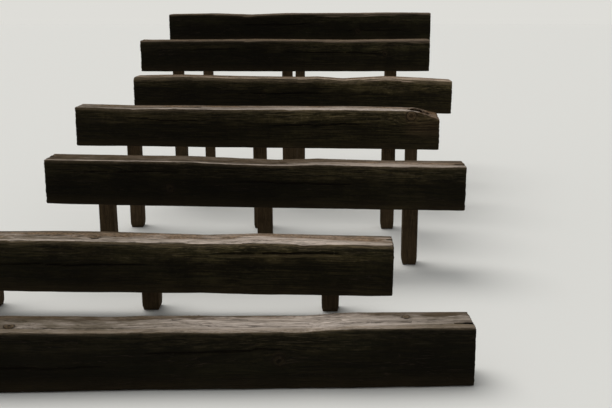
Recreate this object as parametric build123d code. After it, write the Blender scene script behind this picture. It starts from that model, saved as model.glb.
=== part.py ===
from build123d import *
from dataclasses import dataclass, field
import math
import os

# Trail stairs: seven weathered timbers set across a slope as risers, each held by three stakes
# on its uphill side. +X runs to the walker's right, +Y uphill and +Z up. The origin is the
# middle of the lowest timber's underside, at ground level. All sizes are in millimetres.

# Regular step, from which each real one differs a little
TIMBER_LENGTH = 1800.0
GOING = 590.0
RISE = 145.0

# Sawn timber
TIMBER_DEPTH = 150.0
TIMBER_HEIGHT = 200.0
BACK_ARRIS = 9.0
FOOT_ARRIS = 6.0

# Square stakes
STAKE_SIDE = 70.0
STAKE_INSET = 230.0
STAKE_BEVEL = 10.0
STAKE_FOOT_BEVEL = 4.0

# Wear at the timbers' ends
SPLIT_WIDTH = 7.0
END_OVERRUN = 5.0

# Bends of a rotted slope, as shares of its reach along the timber and of its drop
DECAY_BENDS = ((0.30, 0.20), (0.65, 0.55))

STAKE_SIDES = ("left", "middle", "right")


@dataclass
class Wear:
    """The worn cross-section at one station along a timber."""

    place: float  # 0 at the left end, 1 at the right end
    crest: float  # how far the top has worn down
    nose: float  # radius of the front top arris
    face: float  # how far the front face has worn back


@dataclass
class Split:
    """A drying split that runs in from one end of a timber and opens to its top."""

    end: int  # -1 at the left end, 1 at the right end
    across: float  # from the timber's middle line, towards the back
    reach: float  # along the timber
    deep: float  # down from the top at the end
    lean: float  # degrees from upright, seen on the end grain


@dataclass
class Hollow:
    """A round hollow that rot has eaten into the top."""

    inset: float  # from the timber's right end to the hollow's middle
    across: float  # from the timber's middle line, towards the back
    radius: float  # of the ball that fits the hollow
    bite: float  # greatest depth below the top


@dataclass
class Decay:
    """A rotted right end, where the top has broken away down a slope."""

    reach: float  # from the end to where the slope starts
    front_drop: float  # below the top, at the end's front corner
    back_drop: float  # below the top, at the end's back corner


@dataclass
class Step:
    """One riser timber and how it differs from the regular step, with its own wear."""

    extra_length: float
    extra_going: float  # in the run from the step below, which the lowest step hasn't
    extra_rise: float  # in the climb from the step below, which the lowest step hasn't
    shift: float  # middle of the timber, right of the lowest one's
    skew: float  # degrees, right end turned uphill
    tilt: float  # degrees, right end lifted
    stake_moves: tuple  # each stake's offset from its regular place
    stake_drops: tuple  # each stake's top below the timber's top
    wear: list
    splits: list
    hollows: list = field(default_factory=list)
    decays: list = field(default_factory=list)

    @property
    def length(self):
        return TIMBER_LENGTH + self.extra_length


STEPS = [
    Step(
        extra_length=10,
        extra_going=0,
        extra_rise=0,
        shift=0,
        skew=1.7,
        tilt=0,
        stake_moves=(0, 20, -10),
        stake_drops=(24, 30, 27),
        wear=[
            Wear(0.00, 6, 24, 4),
            Wear(0.20, 0, 20, 0),
            Wear(0.38, 7, 24, 3),
            Wear(0.46, 4, 18, 4),
            Wear(0.57, 8, 20, 1),
            Wear(0.71, 9, 22, 3),
            Wear(0.79, 1, 16, 0),
            Wear(1.00, 3, 22, 6),
        ],
        splits=[Split(1, -18, 260, 70, 8), Split(-1, 25, 180, 60, -6)],
    ),
    Step(
        extra_length=-10,
        extra_going=-41,
        extra_rise=-27,
        shift=-190,
        skew=-1.4,
        tilt=-0.4,
        stake_moves=(15, -25, 0),
        stake_drops=(30, 34, 36),
        wear=[
            Wear(0.00, 6, 32, 3),
            Wear(0.14, 5, 26, 5),
            Wear(0.30, 0, 30, 1),
            Wear(0.42, 1, 32, 3),
            Wear(0.54, 5, 36, 6),
            Wear(0.61, 8, 42, 10),
            Wear(0.72, 0, 30, 2),
            Wear(0.88, 3, 36, 5),
            Wear(1.00, 4, 34, 8),
        ],
        splits=[Split(1, 12, 320, 85, -7), Split(-1, -30, 150, 50, 5)],
    ),
    Step(
        extra_length=0,
        extra_going=0,
        extra_rise=33,
        shift=168,
        skew=-1.2,
        tilt=-0.75,
        stake_moves=(-10, 30, 10),
        stake_drops=(26, 22, 29),
        wear=[
            Wear(0.00, 0, 12, 4),
            Wear(0.18, 1, 8, 1),
            Wear(0.34, 0, 9, 1),
            Wear(0.46, 6, 8, 0),
            Wear(0.55, 9, 8, 2),
            Wear(0.65, 1, 7, 1),
            Wear(0.79, 5, 9, 0),
            Wear(1.00, 2, 12, 4),
        ],
        splits=[Split(1, -25, 210, 90, -5), Split(-1, 8, 240, 60, 9)],
    ),
    Step(
        extra_length=0,
        extra_going=30,
        extra_rise=8,
        shift=144,
        skew=-1.6,
        tilt=-0.4,
        stake_moves=(20, 0, -10),
        stake_drops=(28, 33, 32),
        wear=[
            Wear(0.00, 2, 14, 2),
            Wear(0.16, 6, 18, 3),
            Wear(0.42, 4, 20, 2),
            Wear(0.60, 2, 13, 1),
            Wear(0.74, 0, 13, 3),
            Wear(0.84, 1, 15, 2),
            Wear(1.00, 5, 20, 5),
        ],
        splits=[Split(-1, -12, 230, 75, 6)],
        hollows=[Hollow(98, 5, 62, 38)],
        decays=[Decay(150, 50, 30)],
    ),
    Step(
        extra_length=-20,
        extra_going=0,
        extra_rise=-43,
        shift=309,
        skew=-1.8,
        tilt=-0.5,
        stake_moves=(0, -15, 25),
        stake_drops=(36, 30, 38),
        wear=[
            Wear(0.00, 12, 34, 5),
            Wear(0.15, 4, 30, 0),
            Wear(0.32, 10, 26, 6),
            Wear(0.53, 9, 28, 4),
            Wear(0.58, 6, 26, 3),
            Wear(0.66, 16, 30, 7),
            Wear(0.79, 0, 24, 2),
            Wear(0.90, 6, 28, 4),
            Wear(1.00, 15, 32, 7),
        ],
        splits=[Split(1, 5, 280, 80, 4), Split(-1, 20, 200, 70, -8)],
    ),
    Step(
        extra_length=0,
        extra_going=10,
        extra_rise=31,
        shift=255,
        skew=0.3,
        tilt=0,
        stake_moves=(-20, 10, 0),
        stake_drops=(25, 31, 26),
        wear=[
            Wear(0.00, 5, 18, 3),
            Wear(0.20, 4, 13, 0),
            Wear(0.42, 1, 17, 3),
            Wear(0.58, 4, 14, 1),
            Wear(0.70, 6, 20, 2),
            Wear(0.84, 3, 16, 3),
            Wear(1.00, 0, 17, 3),
        ],
        splits=[Split(1, 22, 190, 65, -6), Split(-1, -8, 260, 80, 5)],
    ),
    Step(
        extra_length=-10,
        extra_going=0,
        extra_rise=8,
        shift=342,
        skew=-0.4,
        tilt=0.2,
        stake_moves=(10, 0, -15),
        stake_drops=(29, 24, 31),
        wear=[
            Wear(0.00, 6, 16, 1),
            Wear(0.16, 2, 15, 2),
            Wear(0.31, 11, 22, 4),
            Wear(0.46, 2, 15, 1),
            Wear(0.68, 3, 14, 2),
            Wear(0.85, 0, 12, 0),
            Wear(1.00, 3, 15, 2),
        ],
        splits=[Split(1, -10, 170, 60, 7), Split(-1, 15, 210, 75, -4)],
    ),
]


def worn_section(step, wear):
    """Cross-section of the timber at one station, with all four arrises rounded."""
    front = -TIMBER_DEPTH / 2 + wear.face
    back = TIMBER_DEPTH / 2
    outline = FilletPolyline(
        (front, -TIMBER_HEIGHT),
        (back, -TIMBER_HEIGHT),
        (back, -wear.crest),
        (front, -wear.crest),
        radius=[FOOT_ARRIS, FOOT_ARRIS, BACK_ARRIS, wear.nose],
        close=True,
    )
    along = step.length * (wear.place - 0.5)
    station = Plane(origin=(along, 0, 0), x_dir=(0, 1, 0), z_dir=(1, 0, 0))
    return station * make_face(outline)


def split_cutter(step, split):
    """A thin wedge, widest at the end grain, that closes as it runs in."""
    end = split.end * (step.length / 2 + END_OVERRUN)
    tip = split.end * (step.length / 2 - split.reach)
    plan = make_face(
        Polyline((tip, 0), (end, -SPLIT_WIDTH / 2), (end, SPLIT_WIDTH / 2), close=True)
    )
    wedge = extrude(plan, split.deep + TIMBER_HEIGHT)
    return Pos(0, split.across, -split.deep) * Rot(X=split.lean) * wedge


def hollow_cutter(step, hollow):
    """A ball sunk into the top, so that it leaves a round hollow."""
    along = step.length / 2 - hollow.inset
    return Pos(along, hollow.across, hollow.radius - hollow.bite) * Sphere(hollow.radius)


def decay_profile(step, decay, drop, across):
    """The air over the rotted slope, seen from the front, at one distance across."""
    end = step.length / 2 + END_OVERRUN
    start = step.length / 2 - decay.reach
    bends = [(start + along * decay.reach, -down * drop) for along, down in DECAY_BENDS]
    slope = Spline((start, 0), *bends, (end, -drop))
    air = Polyline((end, -drop), (end, TIMBER_HEIGHT), (start, TIMBER_HEIGHT), (start, 0))
    upright = Plane(origin=(0, across, 0), x_dir=(1, 0, 0), z_dir=(0, -1, 0))
    return upright * make_face([slope, air])


def decay_cutter(step, decay):
    """The air over the rotted end, deeper at the front than at the back."""
    reach = TIMBER_DEPTH / 2 + END_OVERRUN
    front = decay_profile(step, decay, decay.front_drop, -reach)
    back = decay_profile(step, decay, decay.back_drop, reach)
    return loft([front, back], ruled=True)


def make_timber(step):
    """One riser timber about its own middle, with its unworn top at height 0."""
    body = loft([worn_section(step, wear) for wear in step.wear], ruled=True)
    for hollow in step.hollows:
        body -= hollow_cutter(step, hollow)
    for decay in step.decays:
        body -= decay_cutter(step, decay)
    for split in step.splits:
        body -= split_cutter(step, split)
    return body


def make_stake(height):
    """A square stake that stands on the ground, with its driven head bevelled."""
    stake = Box(STAKE_SIDE, STAKE_SIDE, height, align=(Align.CENTER, Align.CENTER, Align.MIN))
    stake = chamfer(stake.faces().sort_by(Axis.Z)[-1].edges(), STAKE_BEVEL)
    return chamfer(stake.faces().sort_by(Axis.Z)[0].edges(), STAKE_FOOT_BEVEL)


def write_node(name, solid):
    """Writes one piece to its own file."""
    solid.label = name
    export_step(solid, f"parts/{name}.step")


def make_stairs():
    """Places every timber and its stakes, from the lowest step up."""
    middle_line = 0.0
    top = TIMBER_HEIGHT
    for number, step in enumerate(STEPS, 1):
        if number > 1:
            middle_line += GOING + step.extra_going
            top += RISE + step.extra_rise
        upright = Pos(step.shift, middle_line, 0) * Rot(Z=step.skew)
        timber = upright * Pos(0, 0, top) * Rot(Y=-step.tilt) * make_timber(step)
        write_node(f"step_{number}_timber", timber)

        end_place = step.length / 2 - STAKE_INSET
        places = (-end_place, 0.0, end_place)
        for side, place, move, drop in zip(STAKE_SIDES, places, step.stake_moves, step.stake_drops):
            along = place + move
            height = top + along * math.sin(math.radians(step.tilt)) - drop
            behind = (TIMBER_DEPTH + STAKE_SIDE) / 2
            stake = upright * Pos(along, behind, 0) * make_stake(height)
            write_node(f"step_{number}_stake_{side}", stake)


os.makedirs("parts", exist_ok=True)
make_stairs()
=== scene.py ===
import itertools
import math
from dataclasses import dataclass, field

import bmesh
import bpy
import numpy as np
from mathutils import Matrix, Vector


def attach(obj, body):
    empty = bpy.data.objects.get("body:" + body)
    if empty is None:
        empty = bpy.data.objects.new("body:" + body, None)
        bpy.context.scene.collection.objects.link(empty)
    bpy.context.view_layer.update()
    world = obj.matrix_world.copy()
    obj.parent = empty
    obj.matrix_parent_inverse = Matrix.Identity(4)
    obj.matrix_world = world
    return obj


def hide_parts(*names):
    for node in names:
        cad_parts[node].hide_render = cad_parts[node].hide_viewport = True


# Weathered timber trail stairs. Each timber and stake of the CAD model is rebuilt as a fine mesh
# in its own frame (x along the grain), then worn inwards: growth rings stand out as ridges,
# drying cracks open, arrises chip and knots show. All lengths are in metres.

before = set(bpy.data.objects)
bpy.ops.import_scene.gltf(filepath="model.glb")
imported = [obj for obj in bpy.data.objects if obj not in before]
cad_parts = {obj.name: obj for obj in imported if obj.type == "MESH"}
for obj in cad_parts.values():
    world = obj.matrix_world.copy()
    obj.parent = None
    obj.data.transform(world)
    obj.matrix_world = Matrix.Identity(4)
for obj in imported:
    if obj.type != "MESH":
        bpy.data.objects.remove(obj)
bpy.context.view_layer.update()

# Sections of the CAD model's timbers and stakes
TIMBER_DEPTH = 0.150
TIMBER_HEIGHT = 0.200
STAKE_SIDE = 0.070

# Size of a fine mesh's faces across the grain, and how many times longer they are along it
TIMBER_VOXEL = 0.0029
TIMBER_STRETCH = 3.5
STAKE_VOXEL = 0.0040
STAKE_STRETCH = 5.0

# The two spikes driven into each stake
SPIKE_DEPTHS = (0.062, 0.142)  # below the timber's unworn top
SPIKE_ASIDE = 0.008  # from the stake's middle line, on alternate sides
SPIKE_RADIUS = 0.009
SPIKE_DENT = 0.0040  # how deep the wood is dented round a head
SPIKE_SEAT = 0.0036  # how deep a head's rim sits below the stake's unworn back
SPIKE_PROFILE = ((0.35, 0.0028), (0.68, 0.0021), (0.90, 0.0010), (1.0, 0.0), (1.0, -0.0010))
SPIKE_TIP = 0.0030
SPIKE_SIDES = 20

# Colours of the wood as they are seen, from 0 to 255. Palette explains the first seven.
GREY_WOOD = np.array((190, 176, 164))
BROWN_WOOD = np.array((178, 150, 124))
MID_SHARE = 0.81  # brightness of the wood between the palest streaks
LATE_WOOD = (104, 92, 76)
NOSE_SHADE_WOOD = np.array((100, 86, 67))
# The face colours are damp, stained wood, darkened further as painted shade
FACE_WOOD = np.array((80, 70, 45))
DEEP_FACE = np.array((27, 24, 13))
DRY_FACE = np.array((112, 99, 74))
FRESH_WOOD = (112, 96, 70)
END_WOOD = (86, 73, 57)
END_RING = (48, 39, 30)
KNOT_GLOW = (84, 66, 48)
KNOT_CORE = (98, 80, 57)
KNOT_RING = (32, 25, 18)
KNOT_HEART = (20, 16, 10)
KNOT_EDGE = (26, 21, 15)
CHECK_LINE = (48, 40, 32)
PIT_SHADE = (30, 24, 18)

# Colours of what stains or covers it
# Grime, and painted shade of overhanging plants, beside the walked stretch
GRIME_AND_SHADE = (76, 66, 49)
FACE_GRIME_AND_SHADE = (14, 12, 7)
ALGAE = (60, 58, 35)
WET_FACE = (19, 17, 9)
# Damp wood and painted shade at the foot of the faces
DAMP_FOOT_AND_SHADE = (16, 14, 8)
DARK_SOIL = (44, 35, 24)
PALE_SOIL = (78, 64, 45)
DARK_DUST = (74, 58, 39)
PALE_DUST = (142, 116, 90)
DARK_ROT = (66, 48, 33)
PALE_ROT = (120, 96, 70)
RUST_STAIN = (58, 34, 23)

# Colours of the spike heads
DARK_RUST = (70, 47, 35)
PALE_RUST = (96, 64, 43)
RUST_PIT = (42, 33, 29)

# Studio and camera
FLOOR_REACH = 40.0
FLOOR_COLOUR = (214, 212, 206)
BACKDROP_COLOUR = (222, 221, 216)
SKY_COLOUR = (0.84, 0.87, 0.90, 1)
SKY_STRENGTH = 0.50
KEY_FROM = (-0.35, 0.30, 1.0)
KEY_STRENGTH = 2.1
KEY_SPREAD = 45  # degrees
CAMERA_PLACE = (0.384, -2.464, 1.163)
CAMERA_DIP = 13.5  # degrees below level
CAMERA_LENS = 50  # millimetres, on a sensor 36 mm wide


@dataclass
class Crack:
    """A drying crack: a long, narrow lens that runs along the grain on one face."""

    face: str  # top or front
    along: float  # its middle, from the timber's middle
    across: float  # its y on top and its z on the front, in the timber's own frame
    length: float
    width: float
    depth: float
    slope: float = 0.0  # how far it drifts across over its length
    lip: float = 0.0  # how much paler its lower edge is


@dataclass
class Knot:
    """A branch that comes out of the timber at one point of its surface."""

    along: float
    across: float
    height: float
    radius: float


@dataclass
class Chip:
    """A bite that has broken off the front top arris."""

    along: float
    length: float
    bite: float


@dataclass
class Pocket:
    """A round hollow that is dark inside, as the ball that fits it."""

    inset: float  # from the timber's right end
    across: float
    height: float
    radius: float


@dataclass
class Look:
    """How one timber has weathered."""

    seed: int
    pith: tuple  # across and height of the heart of the trunk
    bleach: float  # how pale the top is
    tone: float  # how bright its palest fibres are
    brown: float  # how brown its pale wood is, from 0 for grey to 1
    walked: tuple  # the stretch of the top that feet keep clean, from the timber's middle; beyond it grime and painted shade darken the wood
    turn: float  # upward share of the normal where the nose turns from pale to dark, partly as painted shade
    face: float  # how bright its dark faces are, set per timber partly as painted shade
    green: float  # how much algae the front has
    rings: float  # growth-ring spacing
    litter: float  # how far soil from the tread has spread over the top's back edge
    cracks: list = field(default_factory=list)
    knots: list = field(default_factory=list)
    chips: list = field(default_factory=list)
    pockets: list = field(default_factory=list)
    rot: float = 0.0  # length of the rotted right end
    spill: float = 0.0  # how far below its unworn top the face is bleached too, partly as painted light on the rounded nose
    scuff_and_highlight: float = 1.0  # how much paler its front arris is, scuffed and painted with a highlight
    soil_and_shadow_fringe: float = 0.022  # how far dark soil and painted shadow of litter cover the top's back edge
    soften: float = 0.0  # how much its top dims towards the front arris, as painted shade on the rounded nose
    damp: float = 0.60  # how dark the damp patches of its faces are


LOOKS = {
    1: Look(
        seed=11, pith=(0.012, -0.085), rings=0.005,
        bleach=1.0, tone=1.12, brown=0.0, turn=0.84, face=0.66, green=0.2,
        walked=(0.28, 0.38), litter=0.026, soil_and_shadow_fringe=0.034, scuff_and_highlight=0.2, soften=0.85,
        cracks=[
            Crack("top", -0.33, -0.03, 0.52, 0.006, 0.012, 0.006),
            Crack("top", 0.24, -0.022, 0.36, 0.005, 0.011, -0.006),
            Crack("top", 0.52, -0.015, 0.54, 0.007, 0.011, 0.003),
            Crack("top", 0.06, 0.036, 0.38, 0.005, 0.01, 0.004),
            Crack("front", 0.1, -0.074, 0.46, 0.006, 0.014, 0.008),
            Crack("front", -0.48, -0.118, 0.5, 0.006, 0.012, -0.008),
        ],
        knots=[
            Knot(-0.52, -0.02, 0.0, 0.016), Knot(0.3, -0.075, -0.105, 0.019), Knot(0.7, 0.03, 0.0, 0.013),
        ],
        chips=[Chip(-0.05, 0.13, 0.006), Chip(0.36, 0.09, 0.005), Chip(-0.62, 0.1, 0.006)],
    ),
    2: Look(
        seed=22, pith=(-0.018, -0.11), rings=0.0056,
        bleach=1.0, tone=1.17, brown=0.1, turn=0.92, face=1.1, green=0.3,
        walked=(0.3, 0.56), litter=0.078, soften=0.15,
        cracks=[
            Crack("top", 0.46, -0.024, 0.56, 0.0065, 0.013, 0.01),
            Crack("top", 0.24, 0.02, 0.34, 0.008, 0.016, -0.006),
            Crack("top", -0.4, 0.004, 0.6, 0.006, 0.012, -0.006),
            Crack("front", 0.47, -0.04, 0.44, 0.008, 0.018, 0.006, 0.7),
            Crack("front", -0.3, -0.092, 0.6, 0.0065, 0.014, 0.006),
        ],
        knots=[Knot(-0.2, -0.01, 0.0, 0.018), Knot(-0.62, -0.075, -0.08, 0.02)],
        chips=[Chip(0.06, 0.16, 0.004), Chip(0.6, 0.11, 0.007), Chip(-0.45, 0.12, 0.006)],
    ),
    3: Look(
        seed=33, pith=(0.03, -0.06), rings=0.0046,
        bleach=0.95, tone=1.0, brown=0.2, turn=0.8, face=0.9, green=0.25,
        walked=(0.52, 0.66), litter=0.088, soil_and_shadow_fringe=0.098,
        cracks=[
            Crack("top", -0.2, -0.018, 0.7, 0.0055, 0.012, 0.008),
            Crack("top", 0.5, 0.01, 0.5, 0.006, 0.012, -0.006),
            Crack("front", 0.16, -0.088, 0.5, 0.0065, 0.014, -0.008),
            Crack("front", -0.55, -0.05, 0.45, 0.0055, 0.012, 0.006),
        ],
        knots=[Knot(0.12, 0.000, 0.0, 0.015), Knot(-0.36, -0.075, -0.12, 0.018)],
        chips=[Chip(-0.3, 0.08, 0.004), Chip(0.62, 0.1, 0.005)],
    ),
    4: Look(
        seed=44, pith=(0.012, -0.05), rings=0.0052, rot=0.2,
        bleach=0.95, tone=1.06, brown=0.1, turn=0.84, face=1.15, green=0.25, damp=0.35,
        walked=(0.3, 0.74), litter=0.07,
        cracks=[
            Crack("top", -0.1, -0.02, 0.64, 0.006, 0.013, -0.008),
            Crack("top", 0.44, 0.018, 0.42, 0.0075, 0.016, 0.006),
            Crack("front", 0.3, -0.082, 0.44, 0.007, 0.015, 0.008),
            Crack("front", -0.42, -0.064, 0.42, 0.0055, 0.012, -0.008),
            Crack("top", 0.72, 0.016, 0.36, 0.01, 0.012, 0.006),
            Crack("top", 0.8, -0.02, 0.2, 0.008, 0.01, -0.004),
        ],
        knots=[Knot(0.758, -0.075, -0.03, 0.024), Knot(-0.3, 0.02, 0.0, 0.015)],
        chips=[Chip(0.2, 0.12, 0.006), Chip(-0.58, 0.09, 0.005)],
        pockets=[Pocket(0.098, 0.005, 0.024, 0.062)],
    ),
    5: Look(
        seed=55, pith=(-0.01, -0.07), rings=0.0054,
        bleach=0.85, tone=1.1, brown=0.6, turn=0.93, face=1.15, green=0.25, spill=0.032, damp=0.4,
        walked=(0.5, 0.86), litter=0.075,
        cracks=[
            Crack("top", 0.3, -0.01, 0.7, 0.0075, 0.016, 0.01),
            Crack("top", -0.44, 0.012, 0.5, 0.0065, 0.014, -0.006),
            Crack("front", -0.06, -0.094, 0.48, 0.007, 0.015, 0.008),
        ],
        knots=[Knot(0.48, -0.01, 0.0, 0.016), Knot(-0.16, -0.075, -0.11, 0.018)],
        chips=[Chip(0.1, 0.15, 0.008), Chip(0.66, 0.12, 0.008), Chip(-0.5, 0.14, 0.008)],
    ),
    # Steps 6 and 7 have a lower tone and bleach, partly as painted shade over them
    6: Look(
        seed=66, pith=(0.022, -0.1), rings=0.005,
        bleach=0.7, tone=0.72, brown=0.8, turn=0.5, face=0.88, green=0.4, spill=0.04,
        walked=(0.4, 0.8), litter=0.085,
        cracks=[
            Crack("top", 0.1, -0.014, 0.6, 0.006, 0.013, 0.006),
            Crack("front", 0.3, -0.082, 0.62, 0.0065, 0.014, -0.008),
            Crack("front", -0.42, -0.06, 0.5, 0.006, 0.012, 0.006),
        ],
        knots=[Knot(0.62, -0.075, -0.09, 0.017), Knot(-0.4, 0.01, 0.0, 0.014)],
        chips=[Chip(0.28, 0.1, 0.005), Chip(-0.2, 0.12, 0.006)],
    ),
    7: Look(
        seed=77, pith=(-0.024, -0.09), rings=0.0048,
        bleach=0.75, tone=0.72, brown=0.8, turn=0.35, face=0.64, green=0.45, spill=0.048,
        walked=(0.2, 0.85), litter=0.09,
        cracks=[
            Crack("top", 0.24, -0.006, 0.66, 0.0065, 0.014, -0.008),
            Crack("front", -0.16, -0.08, 0.48, 0.0065, 0.014, 0.008),
            Crack("front", 0.52, -0.12, 0.44, 0.006, 0.012, 0.004),
        ],
        knots=[Knot(-0.05, -0.01, 0.0, 0.015), Knot(0.4, -0.075, -0.13, 0.019)],
        chips=[Chip(-0.34, 0.11, 0.006), Chip(0.48, 0.09, 0.005)],
    ),
}


# Repeatable noise


def scatter(cell, seed):
    """A number from -1 to 1 for each whole-number point, the same in every run."""
    x, y, z = (cell[:, axis].astype(np.int64).astype(np.uint32) for axis in range(3))
    mixed = x * np.uint32(374761393) + y * np.uint32(668265263) + z * np.uint32(2246822519)
    mixed += np.uint32(seed * 3266489917 % 2**32)
    mixed = (mixed ^ (mixed >> np.uint32(15))) * np.uint32(2246822519)
    mixed = (mixed ^ (mixed >> np.uint32(13))) * np.uint32(3266489917)
    mixed ^= mixed >> np.uint32(16)
    return mixed / 2147483647.5 - 1


def noise(points, size, seed):
    """Smooth noise from about -1 to 1, with features of that size along each axis."""
    scaled = points / np.asarray(size)
    cell = np.floor(scaled)
    inside = scaled - cell
    ease = inside**3 * (inside * (inside * 6 - 15) + 10)
    total = np.zeros(len(points))
    for corner in itertools.product((0, 1), repeat=3):
        corner = np.array(corner)
        share = np.prod(np.where(corner, ease, 1 - ease), axis=1)
        offset = inside - corner
        for axis in range(3):
            total += share * offset[:, axis] * scatter(cell + corner, seed * 3 + axis)
    return total * 1.5


def rough(points, size, seed, octaves=3):
    """Noise with finer detail added in halves."""
    size = np.asarray(size, float)
    return sum(
        noise(points, size / 2**octave, seed + 7 * octave) / 2**octave for octave in range(octaves)
    )


def ramp(value, start, end):
    """0 before start, 1 after end, eased between."""
    share = np.clip((value - start) / (end - start), 0, 1)
    return share * share * (3 - 2 * share)


# From CAD node to fine mesh


def facing(mesh, rough_direction):
    """The normal of the largest facet within about 20 degrees of that direction."""
    best = max(
        (facet for facet in mesh.polygons if facet.normal.dot(rough_direction) > 0.94),
        key=lambda facet: facet.area,
    )
    return best.normal.copy()


def timber_place(node):
    """A timber's own frame: x to its right end, y to its back, z up from its unworn top."""
    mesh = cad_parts[node].data
    up = -facing(mesh, Vector((0, 0, -1)))
    back = facing(mesh, Vector((0, 1, 0)))
    along = back.cross(up).normalized()
    back = up.cross(along)
    return node_place(mesh, along, back, up, TIMBER_DEPTH / 2, -TIMBER_HEIGHT)


def stake_place(node):
    """A stake's own frame: x up along its grain from the foot, y to its back."""
    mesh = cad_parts[node].data
    back = facing(mesh, Vector((0, 1, 0)))
    up = Vector((0, 0, 1))
    return node_place(mesh, up, back, up.cross(back), STAKE_SIDE / 2, -STAKE_SIDE / 2, True)


def node_place(mesh, along, across, height, across_high, height_low, from_foot=False):
    """The frame with those axes whose origin sits as the given offsets say."""
    turn = Matrix((along, across, height)).transposed()
    points = np.array([turn.transposed() @ vertex.co for vertex in mesh.vertices])
    low, high = points.min(0), points.max(0)
    start = low[0] if from_foot else (low[0] + high[0]) / 2
    origin = turn @ Vector((start, high[1] - across_high, low[2] - height_low))
    return Matrix.Translation(origin) @ turn.to_4x4()


def add_object(name, data):
    added = bpy.data.objects.new(name, data)
    bpy.context.scene.collection.objects.link(added)
    return added


def fine_mesh(node, place, stretch, voxel):
    """The node's solid in its own frame, as small even faces that are longer along the grain."""
    squeeze = Matrix.Diagonal((1 / stretch, 1, 1, 1))
    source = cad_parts[node].data.copy()
    source.transform(squeeze @ place.inverted())
    holder = add_object("holder", source)
    remesh = holder.modifiers.new("remesh", "REMESH")
    remesh.mode = "VOXEL"
    remesh.voxel_size = voxel
    smooth = holder.modifiers.new("smooth", "SMOOTH")
    smooth.factor = 0.5
    smooth.iterations = 3
    shaped = holder.evaluated_get(bpy.context.evaluated_depsgraph_get())
    mesh = bpy.data.meshes.new_from_object(shaped)
    bpy.data.objects.remove(holder)
    mesh.transform(squeeze.inverted())
    mesh.materials.clear()
    mesh.name = node + "_mesh"
    return mesh


def read_rows(source, name):
    """Three numbers from each of a mesh's points or normals."""
    flat = np.empty(len(source) * 3, np.float32)
    source.foreach_get(name, flat)
    return flat.reshape(-1, 3).astype(float)


def store_wear(mesh, worn, grain, values):
    """Moves the mesh's points, and stores its grain and the values that wood materials read."""
    mesh.vertices.foreach_set("co", worn.astype(np.float32).ravel())
    mesh.update()
    layer = mesh.attributes.new("grain", "FLOAT_VECTOR", "POINT")
    layer.data.foreach_set("vector", grain.astype(np.float32).ravel())
    for name, value in values.items():
        layer = mesh.attributes.new(name, "FLOAT", "POINT")
        layer.data.foreach_set("value", np.broadcast_to(value, len(worn)).astype(np.float32))


def add_piece(name, mesh, place, material, slot, *nodes):
    """Adds a finished piece that stands for its CAD nodes."""
    mesh.transform(place)
    mesh.shade_smooth()
    mesh.materials.append(material)
    piece = add_object(name, mesh)
    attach(piece, "root")
    if nodes:
        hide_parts(*nodes)


# Wear, as depths inwards. The numbers added to a seed set one noise apart from the next.


def knot_offset(points, knot, pith):
    """Each point's offset from the middle line of a branch that grows out of the pith."""
    outer = np.array((knot.along, knot.across, knot.height))
    inner = np.array((knot.along - 0.03, *pith))
    line = outer - inner
    share = np.clip((points - inner) @ line / (line @ line), 0, 1.2)
    return points - inner - share[:, None] * line


def grain_space(points, look):
    """Each point's place in the unbent trunk: fibres sway, and flow round every knot."""
    grain = points.copy()
    for axis in (1, 2):
        grain[:, axis] += 0.013 * noise(points, (0.60, 9, 9), look.seed + axis)
        grain[:, axis] += 0.004 * rough(points, (0.22, 0.10, 0.10), look.seed + 2 + axis)
    for knot in look.knots:
        offset = knot_offset(points, knot, look.pith)
        away = np.linalg.norm(offset * (0.55, 1, 1), axis=1) / knot.radius
        push = 0.85 * np.exp(-((away / 1.7) ** 2))
        grain[:, 1:] -= offset[:, 1:] * push[:, None]
    return grain


def ring_ridges(points, radius, spacing, seed):
    """Ridges where the growth rings, at that radius from the pith, come to the surface."""
    rings = np.stack([radius, points[:, 0], np.zeros(len(points))], axis=1)
    return rough(rings, (spacing, 0.8, 1), seed)


def raised(ridge, fibre):
    """How far the grain stands out, from 0 in the furrows to 1."""
    return 0.5 + 0.5 * np.clip(0.6 * ridge + 0.4 * fibre, -1, 1)


def knot_reach(points, look):
    """Distance from the nearest knot's middle line, in that knot's radii."""
    reach = np.full(len(points), 9.0)
    for knot in look.knots:
        away = np.linalg.norm(knot_offset(points, knot, look.pith), axis=1) / knot.radius
        reach = np.minimum(reach, away)
    return reach


def crack_mask(points, normals, crack, seed):
    """1 at the middle of the crack and 0 outside it. Its line wanders and jumps between fibres."""
    if crack.face == "top":
        across, facing_out = points[:, 1], normals[:, 2]
    else:
        across, facing_out = points[:, 2], -normals[:, 1]
    run = (points[:, 0] - crack.along) / (crack.length / 2)
    along = np.zeros((len(points), 3))
    along[:, 0] = points[:, 0]
    drift = 2.4 * noise(along, (0.17, 1, 1), seed + 2)
    jump = np.round(drift)
    line = crack.across + crack.slope * run / 2
    line = line + 0.0022 * rough(along, (0.09, 1, 1), seed)
    line = line + 0.0034 * jump
    width = crack.width / 2 * np.sqrt(np.clip(1 - run * run, 0, 1))
    width = width * np.clip((0.5 - np.abs(drift - jump)) / 0.12, 0.1, 1)
    width = width * (1 + 0.35 * noise(along, (0.03, 1, 1), seed + 1))
    gap = np.abs(across - line)
    mask = np.clip(1.25 - gap / np.maximum(width, 1e-5), 0, 1) * (np.abs(run) < 1)
    return mask * ramp(facing_out, 0.45, 0.8)


def lip_mask(points, normals, crack):
    """1 along the edge just below a crack in the front face."""
    run = (points[:, 0] - crack.along) / (crack.length / 2)
    below = crack.across + crack.slope * run / 2 - points[:, 2]
    band = ramp(below, 0.001, 0.005) * (1 - ramp(below, 0.009, 0.015))
    return band * np.clip(1 - run * run, 0, 1) ** 0.5 * ramp(-normals[:, 1], 0.4, 0.8)


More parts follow.
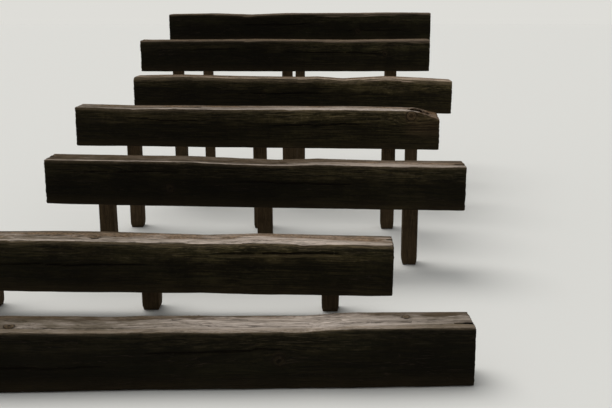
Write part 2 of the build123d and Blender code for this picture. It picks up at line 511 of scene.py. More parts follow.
def end_cracks(points, look):
    """Radial drying cracks on the end faces, widest halfway out and closed at the pith."""
    count = 7
    total = np.zeros(len(points))
    from_pith = points[:, 1:] - look.pith
    wander = rough(points, (9, 0.035, 0.035), look.seed + 20, 2) * 0.0028
    for turn in range(count):
        chance = scatter(np.array([[turn, 1, 1], [turn, 2, 3], [turn, 5, 2]]), look.seed)
        angle = 2 * math.pi * (turn + 0.35 * chance[0]) / count
        ray = np.array((math.cos(angle), math.sin(angle)))
        outwards = from_pith @ ray
        aside = np.abs(from_pith @ np.array((-ray[1], ray[0])) + wander)
        reach = 0.060 + 0.025 * chance[1]
        opening = ramp(outwards, 0.004, 0.5 * reach) * (1 - ramp(outwards, 0.8 * reach, 1.5 * reach))
        width = (0.0019 + 0.0011 * chance[2]) * opening
        total = np.maximum(total, np.clip(1.15 - aside / np.maximum(width, 1e-5), 0, 1))
    return total


def chip_arris(points, look):
    """Moves the points of the front top arris back to its nibbled edge and its chips.

    Also gives how far each point has moved, from 0 to 1, and its distance from the arris.
    """
    corner = (points[:, 2] - (points[:, 1] + TIMBER_DEPTH / 2)) / math.sqrt(2)
    near = corner > -0.05
    bin_length = 0.012
    bins = np.round(points[:, 0] / bin_length).astype(int)
    bins -= bins.min()
    nowhere = -1.0
    edge = np.full(bins.max() + 1, nowhere)
    np.maximum.at(edge, bins[near], corner[near])
    edge = np.where(edge > nowhere, edge, 1.0)[bins]

    splinter = rough(points, (0.060, 0.004, 0.004), look.seed + 31, 2) * 0.0020
    nibble = 0.0028 * np.clip(rough(points, (0.040, 9, 9), look.seed + 32, 3), 0, 1)
    limit = edge - nibble
    for chip in look.chips:
        run = (points[:, 0] - chip.along) / (chip.length / 2)
        step = np.clip((1 + run) / 0.16, 0, 1)
        taper = np.clip((1 - run) / 1.84, 0, 1) ** 0.75
        bite = chip.bite * np.minimum(step, taper)
        limit = np.where(bite > 0, np.minimum(limit, edge - bite + splinter), limit)
    excess = np.clip(corner - limit, 0, None)
    moved = points.copy()
    moved[:, 1] += excess * 0.62
    moved[:, 2] -= excess * 0.78
    return moved, ramp(excess, 0.0006, 0.003), edge - corner


class TimberWear:
    """Wears one timber's fine mesh step by step, and stores what its material needs to know."""

    def __init__(self, mesh, look):
        self.look = look
        self.seed = look.seed
        self.points = read_rows(mesh.vertices, "co")
        self.normals = read_rows(mesh.vertex_normals, "vector")
        self.low = self.points.min(0)
        self.high = self.points.max(0)
        self.below_top = -self.points[:, 2]
        self.from_back = self.high[1] - self.points[:, 1]
        self.find_sides()
        self.raise_grain()
        self.open_cracks()
        self.crumble()
        self.wear_in()
        self.spread_soil()
        self.bleach()
        store_wear(mesh, self.worn, self.grain, self.stored_values())

    def find_sides(self):
        """Shares from 0 to 1 for the top, the front, the back, the ends and inside the splits."""
        self.up = ramp(self.normals[:, 2], 0.25, 0.85)
        self.end = ramp(np.abs(self.normals[:, 0]), 0.55, 0.85)
        inwards = np.minimum(self.points[:, 1] - self.low[1], self.from_back)
        in_split = ramp(inwards, 0.022, 0.026) * ramp(np.abs(self.normals[:, 1]), 0.4, 0.8)
        in_split *= ramp(self.points[:, 2] - self.low[2], 0.003, 0.008) * (1 - self.end)
        self.in_split = in_split
        self.front = ramp(-self.normals[:, 1], 0.3, 0.8) * (1 - in_split)
        self.back = ramp(self.normals[:, 1], 0.3, 0.8) * (1 - in_split)

    def raise_grain(self):
        """Wears the soft wood between growth rings, fibres and knots."""
        points, seed = self.points, self.seed
        self.grain = grain_space(points, self.look)
        self.radius = np.linalg.norm(self.grain[:, 1:] - self.look.pith, axis=1)
        self.ridge = ring_ridges(points, self.radius, self.look.rings * 2.2, seed + 4)
        self.fibre = rough(self.grain, (0.16, 0.007, 0.007), seed + 5)
        self.swell = rough(points, (0.28, 0.045, 0.045), seed + 6)
        self.reach = knot_reach(points, self.look)
        self.reach += 0.10 * noise(points, (0.030, 0.020, 0.020), seed + 11)
        knot = 1 - ramp(self.reach, 0.80, 1.05)
        collar = ramp(self.reach, 0.80, 1.0) * (1 - ramp(self.reach, 1.05, 1.35))

        depth = 0.0012 + 0.0016 * np.clip(0.5 + self.swell, 0, 1.4)
        depth += (0.0018 * self.up + 0.0011 * (1 - self.up)) * np.clip(0.45 + self.ridge, 0, 1.3)
        depth += (0.0013 * self.up + 0.0009) * np.clip(0.4 + self.fibre, 0, 1.3)
        depth = depth * (1 - 0.6 * knot) * (1 - 0.7 * self.in_split) * (1 - 0.7 * self.back)
        self.depth = depth + 0.0016 * collar
        self.pit = np.maximum(self.in_split, 0.5 * collar)

    def open_cracks(self):
        """Opens the drying cracks along the grain, and the stars of cracks on the ends."""
        self.lip = np.zeros(len(self.points))
        for number, crack in enumerate(self.look.cracks):
            mask = crack_mask(self.points, self.normals, crack, self.seed + 40 + 3 * number)
            self.depth += crack.depth * mask
            self.pit = np.maximum(self.pit, ramp(mask, 0.15, 0.6))
            if crack.lip:
                paler = crack.lip * lip_mask(self.points, self.normals, crack)
                self.lip = np.maximum(self.lip, paler)
        star = end_cracks(self.points, self.look) * self.end
        self.depth += 0.008 * star
        self.depth += self.end * 0.002 * np.clip(0.5 + self.ridge, 0, 1)
        self.pit = np.maximum(self.pit, ramp(star, 0.2, 0.7))

    def crumble(self):
        """Splinters the walls of the splits and hollows, and the slope of a rotted end."""
        crumbs = rough(self.points, (0.022, 0.014, 0.014), self.seed + 9)
        splinters = rough(self.grain, (0.055, 0.006, 0.006), self.seed + 8)
        self.depth += self.in_split * 0.0030 * np.clip(0.4 + splinters, 0, 1.4)
        for pocket in self.look.pockets:
            self.crumble_pocket(pocket, crumbs, splinters)
        self.rot = np.zeros(len(self.points))
        if self.look.rot:
            start = self.high[0] - self.look.rot
            full = self.high[0] - 0.6 * self.look.rot
            fallen = ramp(self.below_top, 0.007, 0.020) * ramp(self.normals[:, 2], 0.1, 0.5)
            around = 0.25 * (1 - ramp(self.below_top, 0.10, 0.16))
            self.rot = ramp(self.points[:, 0], start, full) * np.maximum(fallen, around)
            self.depth += self.rot * 0.006 * np.clip(0.4 + splinters, 0, 1.4)
            self.depth += self.rot * 0.004 * np.clip(0.3 + crumbs, 0, 1.4)

    def crumble_pocket(self, pocket, crumbs, splinters):
        """Roughens a hollow's rim and wall, and darkens it inside."""
        middle = (self.high[0] - pocket.inset, pocket.across, pocket.height)
        off_ball = np.abs(np.linalg.norm(self.points - middle, axis=1) - pocket.radius)
        inside = (1 - ramp(off_ball, 0.003, 0.007)) * ramp(self.below_top, 0.006, 0.016)
        rim = math.sqrt(pocket.radius**2 - pocket.height**2)
        off_middle = self.points - middle
        off_rim = np.abs(np.hypot(off_middle[:, 0], off_middle[:, 1]) - rim)
        around = (1 - ramp(off_rim, 0.004, 0.026)) * self.up
        self.depth += 0.009 * around * np.clip(0.2 + splinters, 0, 1.2)
        self.depth += 0.005 * inside * np.clip(0.5 + crumbs + splinters, 0, 1.6)
        gloom = 0.55 + 0.40 * rough(self.points, (0.05, 0.014, 0.014), self.seed + 16)
        self.pit = np.maximum(self.pit, np.clip(gloom, 0, 1) * inside)

    def wear_in(self):
        """Moves every point in by its depth, finds where the arris is chipped, scuffed and painted with a
        highlight, and paints shade across the rounded nose.
        """
        look, upwards = self.look, self.normals[:, 2]
        worn = self.points - self.normals * self.depth[:, None]
        worn, self.chipped, to_arris = chip_arris(worn, look)
        self.worn = np.clip(worn, self.low, self.high)
        # A paler front arris: scuffed wood and a painted highlight
        self.scuffed_and_highlit = (1 - ramp(to_arris, 0.001, 0.011)) * self.up * look.scuff_and_highlight
        # Across the rounded nose the colour is painted shade, from the pale top to the dark face
        over = ramp(upwards, look.turn - 0.08, look.turn + 0.08)
        tail = ramp(upwards, 0.45, 0.88)
        if not look.soften:
            tail = np.maximum(tail, 1 - ramp(to_arris, 0.001, 0.009))
        nose = over * look.soften * (1 - ramp(to_arris, 0.001, 0.024)) + (1 - over) * 0.50 * tail
        self.nose = nose * (1 - self.end) * ramp(self.from_back, 0.09, 0.12)

    def spread_soil(self):
        """Soil and dust from the tread behind, with painted shadow along the top's back edge, and grime with
        painted shade to both sides of the walked stretch.
        """
        points, look, seed = self.points, self.look, self.seed
        beside = np.maximum(look.walked[0] - points[:, 0], points[:, 0] - look.walked[1])
        beside = beside + 0.07 * rough(points, (0.14, 0.05, 0.05), seed + 13)
        self.grime_and_shade = ramp(beside, 0.0, 0.50)
        # A dark fringe on the top's back edge: soil, and painted shadow of litter
        edge = look.soil_and_shadow_fringe * (0.5 + 0.8 * self.grime_and_shade)
        edge = edge + 0.014 * rough(points, (0.05, 0.02, 9), seed + 14)
        soil_and_shadow_fringe = self.up * (1 - ramp(self.from_back, edge - 0.007, edge + 0.005))
        foot = ramp(self.below_top, 0.140, 0.198) * self.front
        soil = np.maximum(self.back * ramp(self.below_top, 0.0, 0.03), 0.35 * foot)
        soil = np.maximum(soil, ramp(-self.normals[:, 2], 0.3, 0.8))
        self.soil = np.maximum(soil, soil_and_shadow_fringe)
        edge = look.litter * (1 + 0.55 * rough(points, (0.24, 0.03, 9), seed + 10))
        dust = self.up * (1 - ramp(self.from_back, edge - 0.022, edge + 0.012))
        self.dust = dust * (1 - 0.75 * soil_and_shadow_fringe)

    def bleach(self):
        """Finds what the sun reaches: the top, and the face's edge on timbers that spill over, there partly
        as painted light.
        """
        look = self.look
        sun = np.clip(0.5 + (self.normals[:, 2] - look.turn) / 0.28, 0, 1)
        if look.spill:
            below = self.below_top + 0.3 * look.spill * self.swell
            spilt = 1 - ramp(below, 0.3 * look.spill, look.spill + 0.001)
            sun = np.maximum(sun, 0.55 * spilt * self.front * (1 - 0.35 * self.grime_and_shade))
        self.sun = sun * (1 - self.in_split)

    def stored_values(self):
        # Faces darken towards their foot: damp wood there, and painted shade
        damp_and_shade_line = self.points[:, 2] + 0.020 * rough(self.points, (0.10, 0.03, 0.03), self.seed + 15)
        patchy = 0.55 + 0.45 * rough(self.points, (0.10, 0.02, 0.02), self.seed + 12)
        return {
            "ring": self.radius,
            "sun": self.sun,
            "grime_and_shade": self.grime_and_shade,
            "low": ramp(-damp_and_shade_line, 0.030, 0.110),
            "pit": self.pit,
            "ridge": raised(self.ridge, self.fibre),
            "knot": np.clip(self.reach, 0, 3),
            "end": self.end,
            "cut": ramp(np.abs(self.normals[:, 0]), 0.12, 0.35),
            "soil": np.clip(self.soil, 0, 1),
            "dust": self.dust,
            "rot": np.clip(self.rot, 0, 1),
            "fresh": np.clip(np.maximum(self.chipped * 0.12, self.lip * patchy), 0, 1),
            "scuff_and_highlight": self.scuffed_and_highlit,
            "nose": self.nose,
            "rust": 0,
        }


def weather_stake(mesh, seed, spikes):
    """Wears a stake's fine mesh, which has dents where its spikes were driven in."""
    points = read_rows(mesh.vertices, "co")
    normals = read_rows(mesh.vertex_normals, "vector")
    low, high = points.min(0), points.max(0)
    pith = np.array((0.020 * math.cos(seed), 0.020 * math.sin(seed)))
    grain = points.copy()
    grain[:, 1] += 0.004 * noise(points, (0.30, 9, 9), seed + 1)
    grain[:, 2] += 0.004 * noise(points, (0.30, 9, 9), seed + 2)
    radius = np.linalg.norm(grain[:, 1:] - pith, axis=1)
    ridge = ring_ridges(points, radius, 0.009, seed + 4)
    fibre = rough(grain, (0.14, 0.009, 0.009), seed + 5)
    end = ramp(np.abs(normals[:, 0]), 0.55, 0.85)
    against = ramp(-normals[:, 1], 0.4, 0.8)
    below_head = high[0] - points[:, 0]

    depth = 0.0005 + 0.0011 * np.clip(0.5 + ridge, 0, 1.3) + 0.0010 * np.clip(0.5 + fibre, 0, 1.3)
    broom = rough(grain, (0.060, 0.0065, 0.0065), seed + 6)
    battered = 1 - ramp(below_head, 0.004, 0.045)
    depth = depth + battered * 0.0045 * np.clip(0.25 + broom, 0, 1.3)
    depth = depth * (1 - 0.8 * against * (1 - battered))

    rust = np.zeros(len(points))
    outside = ramp(normals[:, 1], 0.5, 0.9)
    for height, across in spikes:
        away = np.hypot(points[:, 0] - height, points[:, 2] - across)
        dent = (1 - ramp(away, SPIKE_RADIUS * 1.05, SPIKE_RADIUS * 1.8)) * outside
        depth = depth * (1 - dent) + SPIKE_DENT * dent
        halo = 1 - ramp(away, SPIKE_RADIUS, SPIKE_RADIUS * 2.4)
        run = 1 - ramp(np.abs(points[:, 2] - across), 0.002, 0.009)
        run *= ramp(height - points[:, 0], 0.0, 0.01) * (1 - ramp(height - points[:, 0], 0.02, 0.075))
        rust = np.maximum(rust, np.maximum(halo, 0.8 * run) * outside)
    standing = 1 - ramp(points[:, 0], 0.0005, 0.004)
    depth = depth * (1 - standing * end)

    values = dict.fromkeys(("grime_and_shade", "low", "dust", "rot", "fresh", "scuff_and_highlight", "nose"), 0)
    values.update(
        ring=radius,
        sun=0.30 * ramp(normals[:, 0], 0.4, 0.8),
        pit=battered * ramp(broom, 0.25, 0.7) * 0.6,
        ridge=raised(ridge, fibre),
        knot=3,
        end=end,
        cut=end,
        soil=np.clip(0.25 + ramp(below_head, 0.10, 0.30) * 0.7, 0, 1),
        rust=rust,
    )
    store_wear(mesh, np.clip(points - normals * depth[:, None], low, high), grain, values)


# Materials


def paint(colour):
    """A colour as it is seen, from 0 to 255, made linear for a shader."""
    channels = []
    for value in colour:
        value = value / 255
        channels.append(value / 12.92 if value <= 0.04045 else ((value + 0.055) / 1.055) ** 2.4)
    return (*channels, 1.0)


class Value:
    """What a node gives out, with short calls for the nodes that work on from it."""

    def __init__(self, shader, output):
        self.shader = shader
        self.output = output

    def math(self, operation, other=0.0):
        node = self.shader.add("ShaderNodeMath", operation=operation)
        self.shader.put(node.inputs[0], self)
        self.shader.put(node.inputs[1], other)
        return Value(self.shader, node.outputs[0])

    def __add__(self, other):
        return self.math("ADD", other)

    def __sub__(self, other):
        return self.math("SUBTRACT", other)

    def __mul__(self, other):
        return self.math("MULTIPLY", other)

    def span(self, low, high, start=0.0, end=1.0):
        """Maps low..high to start..end, eased and held at both ends."""
        node = self.shader.add("ShaderNodeMapRange", interpolation_type="SMOOTHSTEP")
        ends = {"Value": self, "From Min": low, "From Max": high, "To Min": start, "To Max": end}
        for socket, value in ends.items():
            self.shader.put(node.inputs[socket], value)
        return Value(self.shader, node.outputs["Result"])

    def crossing(self, width):
        """1 where the value crosses its middle, 0.5, and 0 from that width away from it."""
        return (self - 0.5).math("ABSOLUTE").span(0.0, width, 1.0, 0.0)


class Shader:
    """Short calls for building one material's nodes."""

    def __init__(self, name):
        self.material = bpy.data.materials.new(name)
        self.material.use_nodes = True
        self.nodes = self.material.node_tree.nodes
        self.links = self.material.node_tree.links
        self.surface = self.nodes["Principled BSDF"].inputs
        self.place = self.add("ShaderNodeTexCoord").outputs["Object"]

    def add(self, kind, **settings):
        node = self.nodes.new(kind)
        for key, value in settings.items():
            setattr(node, key, value)
        return node

    def put(self, socket, value):
        """Links a value into a socket, or sets the socket's own number or colour."""
        if isinstance(value, Value):
            self.links.new(value.output, socket)
        else:
            socket.default_value = value

    def stored(self, name):
        """A value that the mesh stores at its points."""
        return Value(self, self.add("ShaderNodeAttribute", attribute_name=name).outputs["Fac"])

    def mix(self, share, first, second):
        """The first colour with the second laid over it as far as the share says."""
        node = self.add("ShaderNodeMix", data_type="RGBA")
        self.put(node.inputs["Factor"], share)
        for socket, colour in ((6, first), (7, second)):
            self.put(node.inputs[socket], colour if isinstance(colour, Value) else paint(colour))
        return Value(self, node.outputs[2])

    def layers(self, colour, *layers):
        """Lays more colours over the first one, each as far as its share says."""
        for share, layer in layers:
            colour = self.mix(share, colour, layer)
        return colour

    def raw_noise(self, place, detail):
        """A noise texture at its natural size in that space."""
        node = self.add("ShaderNodeTexNoise")
        self.links.new(place, node.inputs["Vector"])
        node.inputs["Scale"].default_value = 1.0
        node.inputs["Detail"].default_value = detail
        return node

    def noise(self, size, detail=3.0, roughness=0.55, offset=0.0, twist=0.0):
        """Noise with features of that size along x, y and z, in metres."""
        mapping = self.add("ShaderNodeMapping")
        self.links.new(self.place, mapping.inputs["Vector"])
        mapping.inputs["Scale"].default_value = tuple(1 / length for length in size)
        mapping.inputs["Location"].default_value = (offset, offset * 1.7, offset * 2.3)
        node = self.raw_noise(mapping.outputs[0], detail)
        node.inputs["Roughness"].default_value = roughness
        node.inputs["Distortion"].default_value = twist
        return Value(self, node.outputs["Fac"])

    def bump(self, height, strength, distance):
        node = self.add("ShaderNodeBump")
        node.inputs["Strength"].default_value = strength
        node.inputs["Distance"].default_value = distance
        self.put(node.inputs["Height"], height)
        self.links.new(node.outputs["Normal"], self.surface["Normal"])


@dataclass
class Palette:
    """The colours of one piece of wood, from 0 to 255, and three values as in Look."""

    pale: tuple  # sunlit, the palest streaks
    mid: tuple  # sunlit, between those streaks
    deep: tuple  # sunlit, ring lines and furrows
    worn: tuple  # the rounded nose, painted in shade between the pale top and the dark face
    face: tuple  # out of the sun, damp wood darkened as painted shade
    face_deep: tuple  # out of the sun, ring lines and furrows, darkened as painted shade
    face_dry: tuple  # out of the sun, dry wisps and raised grain
    bleach: float
    green: float
    damp: float


class WoodShader(Shader):
    """Old wood: pale and streaked where the sun reaches it, dark brown, stained and painted with shade
    elsewhere.
    """

    def __init__(self, name, palette, ring_spacing, offset, pith):
        super().__init__(name)
        self.palette = palette
        self.broad_patch = self.noise((0.13, 0.060, 0.060), 5.0, 0.65, offset + 8)
        self.algae_patch = self.noise((0.30, 0.090, 0.090), 5.0, 0.62, offset + 20)
        self.drips = self.noise((0.035, 0.035, 0.16), 4.0, 0.65, offset + 30, 0.8)
        self.wet = self.noise((0.16, 0.16, 0.10), 4.0, 0.6, offset + 40)
        # From here the noise lies in the wood's own space, so its streaks bend as the fibres do
        self.place = self.add("ShaderNodeAttribute", attribute_name="grain").outputs["Vector"]
        self.fibre = self.noise((0.045, 0.0011, 0.0011), 3.0, 0.6, offset)
        self.streak = self.noise((0.22, 0.006, 0.006), 3.0, 0.6, offset + 3)
        self.broad = self.noise((0.45, 0.040, 0.040), 3.0, 0.6, offset + 5)
        self.coarse = self.noise((0.02, 0.004, 0.004), 4.0, 0.7, offset + 12)
        self.crumbs = self.noise((0.012, 0.007, 0.007), 4.0, 0.7, offset + 15)
        self.wisps = self.noise((0.070, 0.0045, 0.0045), 4.0, 0.62, offset + 50)
        self.pecks = self.noise((0.014, 0.0055, 0.0080), 4.0, 0.68, offset + 60)
        self.ridge = self.stored("ridge")
        self.end = self.stored("end")
        self.rings = self.growth_rings(ring_spacing, offset)
        self.checks = self.drying_checks(pith, offset)
        # How low on the face a point lies, where damp and painted shade darken the wood
        self.low = self.stored("low") + (self.wet - 0.5) * 0.8
        uneven = self.broad + self.streak - 1.0
        self.shown = (self.stored("sun") + uneven * 0.5).span(0.38, 0.62)
        # A knot has a dark heart in a brown core with its own rings, inside a darker line
        self.reach = self.stored("knot") + self.coarse.span(0.3, 0.7, -0.07, 0.07)
        self.core = self.reach.span(0.86, 1.0, 1.0, 0.0)
        self.knot_rings = self.core * (self.reach * 4.5).math("FRACT").span(0.5, 0.95)
        self.bark = self.reach.span(0.82, 0.95) * self.reach.span(1.0, 1.16, 1.0, 0.0)

        self.put(self.surface["Base Color"], self.colour())
        self.put(self.surface["Roughness"], self.streak.span(0.3, 0.7, 0.78, 0.95))
        self.put(self.surface["Specular IOR Level"], 0.05)
        height = self.fibre * -0.55 + self.rings * 0.35 + self.checks * -1.3
        height = height + self.streak * -0.6 + self.coarse * 0.35
        self.bump(height + self.knot_rings * -0.5 + self.bark * -0.8, 0.9, 0.0016)

    def growth_rings(self, spacing, offset):
        """Latewood lines from the stored distance to the pith: 0 between rings, 1 on a line."""
        uneven = self.noise((0.5, 0.02, 0.02), 2.0, 0.5, offset)
        phase = (self.stored("ring").math("DIVIDE", spacing) + uneven * 1.6).math("FRACT")
        return phase.span(0.35, 0.90) * phase.span(0.93, 1.0, 1.0, 0.0)

    def drying_checks(self, pith, offset):
        """Hairline checks along the grain, and radial ones across the end grain."""
        long = self.noise((0.26, 0.012, 0.012), 2.0, 0.6, offset + 2, 0.3).crossing(0.018)
        sparse = self.noise((0.30, 0.030, 0.030), 2.0, 0.5, offset + 6).span(0.44, 0.58)
        fine = self.noise((0.15, 0.0060, 0.0060), 2.0, 0.6, offset + 14, 0.3).crossing(0.022)
        checks = (long * sparse).math("MAXIMUM", fine * 0.45)
        checks = checks * self.stored("cut").span(0.0, 0.8, 1.0, 0.0)
        return checks.math("MAXIMUM", self.radial_checks(pith, offset) * self.end)

    def radial_checks(self, pith, offset):
        """Thin lines that run outwards from the pith."""
        parts = self.add("ShaderNodeSeparateXYZ")
        self.links.new(self.place, parts.inputs[0])
        across = Value(self, parts.outputs["Y"]) - pith[0]
        height = Value(self, parts.outputs["Z"]) - pith[1]
        polar = self.add("ShaderNodeCombineXYZ")
        self.put(polar.inputs["X"], height.math("ARCTAN2", across) * 5.0)
        self.put(polar.inputs["Y"], self.stored("ring") * 16.0)
        self.put(polar.inputs["Z"], offset)
        return Value(self, self.raw_noise(polar.outputs[0], 3.0).outputs["Fac"]).crossing(0.022)

    def sunlit(self):
        """Pale streaked wood with darker rings and furrows, grimy and painted with shade beside the walked
        stretch.
        """
        wood = self.palette
        grime_and_shade = self.stored("grime_and_shade") * self.broad_patch.span(0.34, 0.62, 0.42, 0.85)
        return self.layers(
            self.mix(self.streak.span(0.34, 0.66), wood.mid, wood.pale),
            (self.broad.span(0.42, 0.70, 0.0, 0.42), wood.deep),
            (self.rings * 0.32, wood.deep),
            (self.fibre.span(0.50, 0.72, 0.0, 0.36), wood.deep),
            (self.ridge.span(0.54, 0.82, 0.0, 0.42), wood.deep),
            (grime_and_shade, GRIME_AND_SHADE),
        )

    def shaded(self):
        """Dark wood, partly painted shade, with algae, drips and damp patches, and dry wisps higher up."""
        wood = self.palette
        dry = self.wisps.span(0.52, 0.66) * self.low.span(0.10, 0.60, 0.45, 0.0)
        raised_grain = self.pecks.span(0.30, 0.44, 0.30, 0.0) * self.low.span(0.2, 0.8, 1.0, 0.2)
        return self.layers(
            self.mix(self.streak.span(0.36, 0.68), wood.face_deep, wood.face),
            (self.rings * 0.40, wood.face_deep),
            (self.fibre.span(0.50, 0.74, 0.0, 0.45), wood.face_deep),
            (self.pecks.span(0.50, 0.66, 0.0, 0.55), wood.face_deep),
            (self.ridge.span(0.30, 0.46, 0.55, 0.0), wood.face),
            (self.algae_patch.span(0.46, 0.66, 0.0, wood.green), ALGAE),
            (self.drips.span(0.48, 0.70, 0.0, 0.38), wood.face_deep),
            (self.wet.span(0.46, 0.62, 0.0, wood.damp), WET_FACE),
            (self.low.span(0.20, 0.80, 0.0, 0.62), DAMP_FOOT_AND_SHADE),
            (dry + raised_grain, wood.face_dry),
            (self.stored("grime_and_shade") * 0.62, FACE_GRIME_AND_SHADE),
        )

    def colour(self):
        """All the colours, each laid over those before it."""
        wood = self.palette
        # The nose's colour is painted shade across the rounded arris
        nose = self.stored("nose") * self.streak.span(0.34, 0.62, 0.60, 1.15)
        # The arris is paler from scuffing and from a painted highlight
        scuff_and_highlight = self.stored("scuff_and_highlight") * self.streak.span(0.30, 0.55, 0.25, 0.75)
        return self.layers(
            self.shaded(),
            (self.shown * wood.bleach, self.sunlit()),
            (nose * self.pecks.span(0.36, 0.62, 1.1, 0.65), wood.worn),
            (self.stored("fresh") * 0.75, FRESH_WOOD),
            (self.end * 0.70, END_WOOD),
            (self.end * self.rings * 0.6, END_RING),
            *self.knot_layers(),
            *self.soil_layers(),
            (scuff_and_highlight * self.shown * wood.bleach, wood.pale),
            (self.stored("rot") * 0.80, self.mix(self.streak.span(0.35, 0.65), DARK_ROT, PALE_ROT)),
            (self.stored("rust") * 0.75, RUST_STAIN),
            (self.checks * 0.70, CHECK_LINE),
            (self.stored("pit") * 0.88, PIT_SHADE),
        )

    def knot_layers(self):
        """Knots, whose glow and core are fainter low on the face, where the wood is damp and painted with
        shade.
        """
        shy = self.low.span(0.15, 0.75, 1.0, 0.08)
        return (
            (self.reach.span(1.0, 1.8, 0.24, 0.0) * shy, KNOT_GLOW),
            (self.core * shy * 0.72, KNOT_CORE),
            (self.knot_rings * 0.55, KNOT_RING),
            (self.reach.span(0.30, 0.46, 1.0, 0.0) * 0.92, KNOT_HEART),
            (self.bark * 0.80, KNOT_EDGE),
        )

    def soil_layers(self):
        """Soil, with painted shadow of litter on the top's back edge, and the dry dust that lies beyond it.
        """
        soil = self.stored("soil") * self.broad_patch.span(0.36, 0.60, 0.72, 1.0)
        dust = self.stored("dust") * self.broad_patch.span(0.34, 0.58, 0.45, 1.0)
        return (
            (soil * 0.86, self.mix(self.coarse, DARK_SOIL, PALE_SOIL)),
            (dust * 0.85, self.mix(self.crumbs.span(0.36, 0.64), DARK_DUST, PALE_DUST)),
        )


def rusty_steel(name):
    """A driven spike's head, rusted brown with darker pitting."""
    shader = Shader(name)
    grain = shader.noise((0.004, 0.004, 0.004), 4.0, 0.6)
    patch = shader.noise((0.012, 0.012, 0.012), 3.0, 0.6, 4.0)
    rust = shader.mix(patch.span(0.35, 0.65), DARK_RUST, PALE_RUST)
    rust = shader.mix(grain.span(0.50, 0.70, 0.0, 0.7), rust, RUST_PIT)
    shader.put(shader.surface["Base Color"], rust)
    shader.put(shader.surface["Metallic"], 0.35)
    shader.put(shader.surface["Roughness"], grain.span(0.3, 0.7, 0.65, 0.9))
    shader.bump(grain, 0.6, 0.0006)
    return shader.material


# Building the stairs


def spike_heads(spots):
    """Low domed heads, one for each spot, as a mesh whose y axis points out of the wood."""
    build = bmesh.new()
    turns = [2 * math.pi * side / SPIKE_SIDES for side in range(SPIKE_SIDES)]
    for along, out, across in spots:
        rows = []
        for share, rise in SPIKE_PROFILE:
            reach = SPIKE_RADIUS * share
            rows.append([
                build.verts.new((along + reach * math.cos(turn), out + rise, across + reach * math.sin(turn)))
                for turn in turns
            ])
        tip = build.verts.new((along, out + SPIKE_TIP, across))
        for side in range(SPIKE_SIDES):
            after = (side + 1) % SPIKE_SIDES
            build.faces.new((tip, rows[0][side], rows[0][after]))
            for inner, outer in zip(rows, rows[1:]):
                build.faces.new((inner[side], outer[side], outer[after], inner[after]))
        build.faces.new(rows[-1])
    bmesh.ops.recalc_face_normals(build, faces=build.faces)
    mesh = bpy.data.meshes.new("spike_heads_mesh")
    build.to_mesh(mesh)
    build.free()
    return mesh


def timber_palette(look):
    pale = (GREY_WOOD + (BROWN_WOOD - GREY_WOOD) * look.brown) * look.tone
    return Palette(
        pale=pale,
        mid=pale * MID_SHARE,
        deep=LATE_WOOD,
        worn=NOSE_SHADE_WOOD * look.tone,
        face=FACE_WOOD * look.face,
        face_deep=DEEP_FACE * look.face,
        face_dry=DRY_FACE * look.face,
        bleach=look.bleach,
        green=look.green,
        damp=look.damp,
    )


def build_timber(number, look):
    """Builds a timber and returns its place, by which its stakes' spikes are set."""
    node = f"step_{number}_timber"
    place = timber_place(node)
    mesh = fine_mesh(node, place, TIMBER_STRETCH, TIMBER_VOXEL)
    TimberWear(mesh, look)
    name = f"weathered_timber_{number}"
    wood = WoodShader(name, timber_palette(look), look.rings, 10.0 * number, look.pith)
    add_piece(f"timber_{number}", mesh, place, wood.material, "weathered_timber", node)
    return place


def build_stake(number, side, timber):
    node = f"step_{number}_stake_{side}"
    place = stake_place(node)
    timber_top = (place.inverted() @ timber.translation).x
    spikes = [
        (timber_top - depth, SPIKE_ASIDE * (-1) ** (turn + number))
        for turn, depth in enumerate(SPIKE_DEPTHS)
    ]
    mesh = fine_mesh(node, place, STAKE_STRETCH, STAKE_VOXEL)
    weather_stake(mesh, number * 10 + ord(side[0]), spikes)
    add_piece(f"stake_{number}_{side}", mesh, place, STAKE_WOOD, "stake_wood", node)
    heads = spike_heads([(height, STAKE_SIDE / 2 - SPIKE_SEAT, across) for height, across in spikes])
    add_piece(f"spikes_{number}_{side}", heads, place, RUST, "stake_wood")


STAKE_PALETTE = Palette(
    pale=(150, 134, 112), mid=(122, 104, 82), deep=(82, 66, 48), worn=(100, 84, 62),
    face=(112, 92, 68), face_deep=(70, 55, 39), face_dry=(118, 99, 74),
    bleach=0.8, green=0.15, damp=0.60,
)
STAKE_WOOD = WoodShader("stake_wood", STAKE_PALETTE, 0.0040, 91.0, (0.0, 0.0)).material
RUST = rusty_steel("rusty_steel")

for number, look in LOOKS.items():
    timber = build_timber(number, look)
    for side in ("left", "middle", "right"):
        build_stake(number, side, timber)


# Floor, light and camera


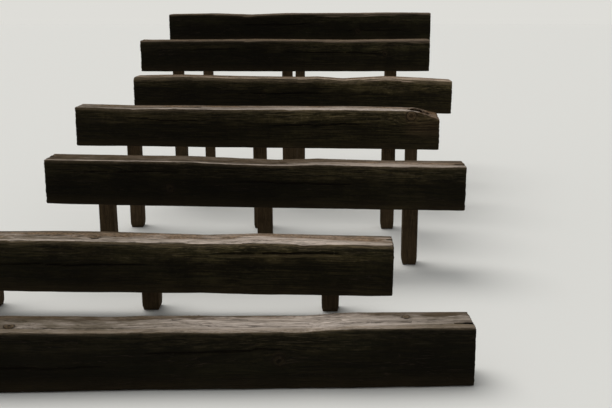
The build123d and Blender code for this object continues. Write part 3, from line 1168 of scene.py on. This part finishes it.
def add_floor():
    mesh = bpy.data.meshes.new("floor_mesh")
    corners = [(-1, -1, 0), (1, -1, 0), (1, 1, 0), (-1, 1, 0)]
    mesh.from_pydata([(FLOOR_REACH * x, FLOOR_REACH * y, z) for x, y, z in corners], [], [(0, 1, 2, 3)])
    shader = Shader("floor_material")
    shader.put(shader.surface["Base Color"], paint(FLOOR_COLOUR))
    shader.put(shader.surface["Roughness"], 0.95)
    mesh.materials.append(shader.material)
    add_object("floor", mesh)


def add_sun():
    data = bpy.data.lights.new("key", "SUN")
    data.energy = KEY_STRENGTH
    data.angle = math.radians(KEY_SPREAD)
    add_object("key", data).rotation_euler = (-Vector(KEY_FROM)).to_track_quat("-Z", "Y").to_euler()


def add_world():
    """Even light from all round, behind a plain pale backdrop for camera, glossy and clear rays."""
    world = bpy.data.worlds.new("studio")
    world.use_nodes = True
    tree = world.node_tree
    light = tree.nodes["Background"]
    light.inputs["Color"].default_value = SKY_COLOUR
    light.inputs["Strength"].default_value = SKY_STRENGTH
    backdrop = tree.nodes.new("ShaderNodeBackground")
    backdrop.inputs["Color"].default_value = paint(BACKDROP_COLOUR)
    path = tree.nodes.new("ShaderNodeLightPath")
    seen = path.outputs["Is Camera Ray"]
    for ray in ("Is Glossy Ray", "Is Transmission Ray"):
        either = tree.nodes.new("ShaderNodeMath")
        either.operation = "MAXIMUM"
        tree.links.new(seen, either.inputs[0])
        tree.links.new(path.outputs[ray], either.inputs[1])
        seen = either.outputs[0]
    choose = tree.nodes.new("ShaderNodeMixShader")
    tree.links.new(seen, choose.inputs[0])
    tree.links.new(light.outputs[0], choose.inputs[1])
    tree.links.new(backdrop.outputs[0], choose.inputs[2])
    tree.links.new(choose.outputs[0], tree.nodes["World Output"].inputs["Surface"])
    bpy.context.scene.world = world


def add_camera():
    data = bpy.data.cameras.new("camera")
    data.lens = CAMERA_LENS
    data.sensor_width = 36
    camera = add_object("camera", data)
    camera.location = CAMERA_PLACE
    camera.rotation_euler = (math.radians(90 - CAMERA_DIP), 0, 0)
    bpy.context.scene.camera = camera


add_floor()
add_world()
add_sun()
add_camera()
bpy.context.scene.view_settings.view_transform = "Standard"
